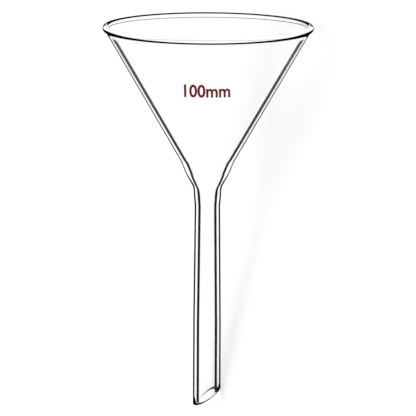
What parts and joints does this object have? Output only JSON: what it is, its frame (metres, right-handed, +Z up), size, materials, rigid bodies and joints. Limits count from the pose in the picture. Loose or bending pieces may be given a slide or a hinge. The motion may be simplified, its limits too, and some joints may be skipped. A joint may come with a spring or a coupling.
{
  "type": "conical laboratory funnel",
  "caption": "Clear glass funnel with a plain 60 degree cone, a fire-rounded rim and a long stem cut off at a slant, for pouring and filtering.",
  "frame": {"origin": "on the table that the funnel lies on, under the middle of its box", "axes": "+Z up from the table, +Y along the funnel's length on the table, from the stem towards the mouth; the funnel's own axis is in the YZ plane and rises towards the mouth"},
  "size_m": [0.1, 0.1912, 0.0971],
  "materials": {
    "glass": "clear, fire-polished"
  },
  "bodies": {
    "root": {"funnel": "glass"}
  },
  "joints": []
}
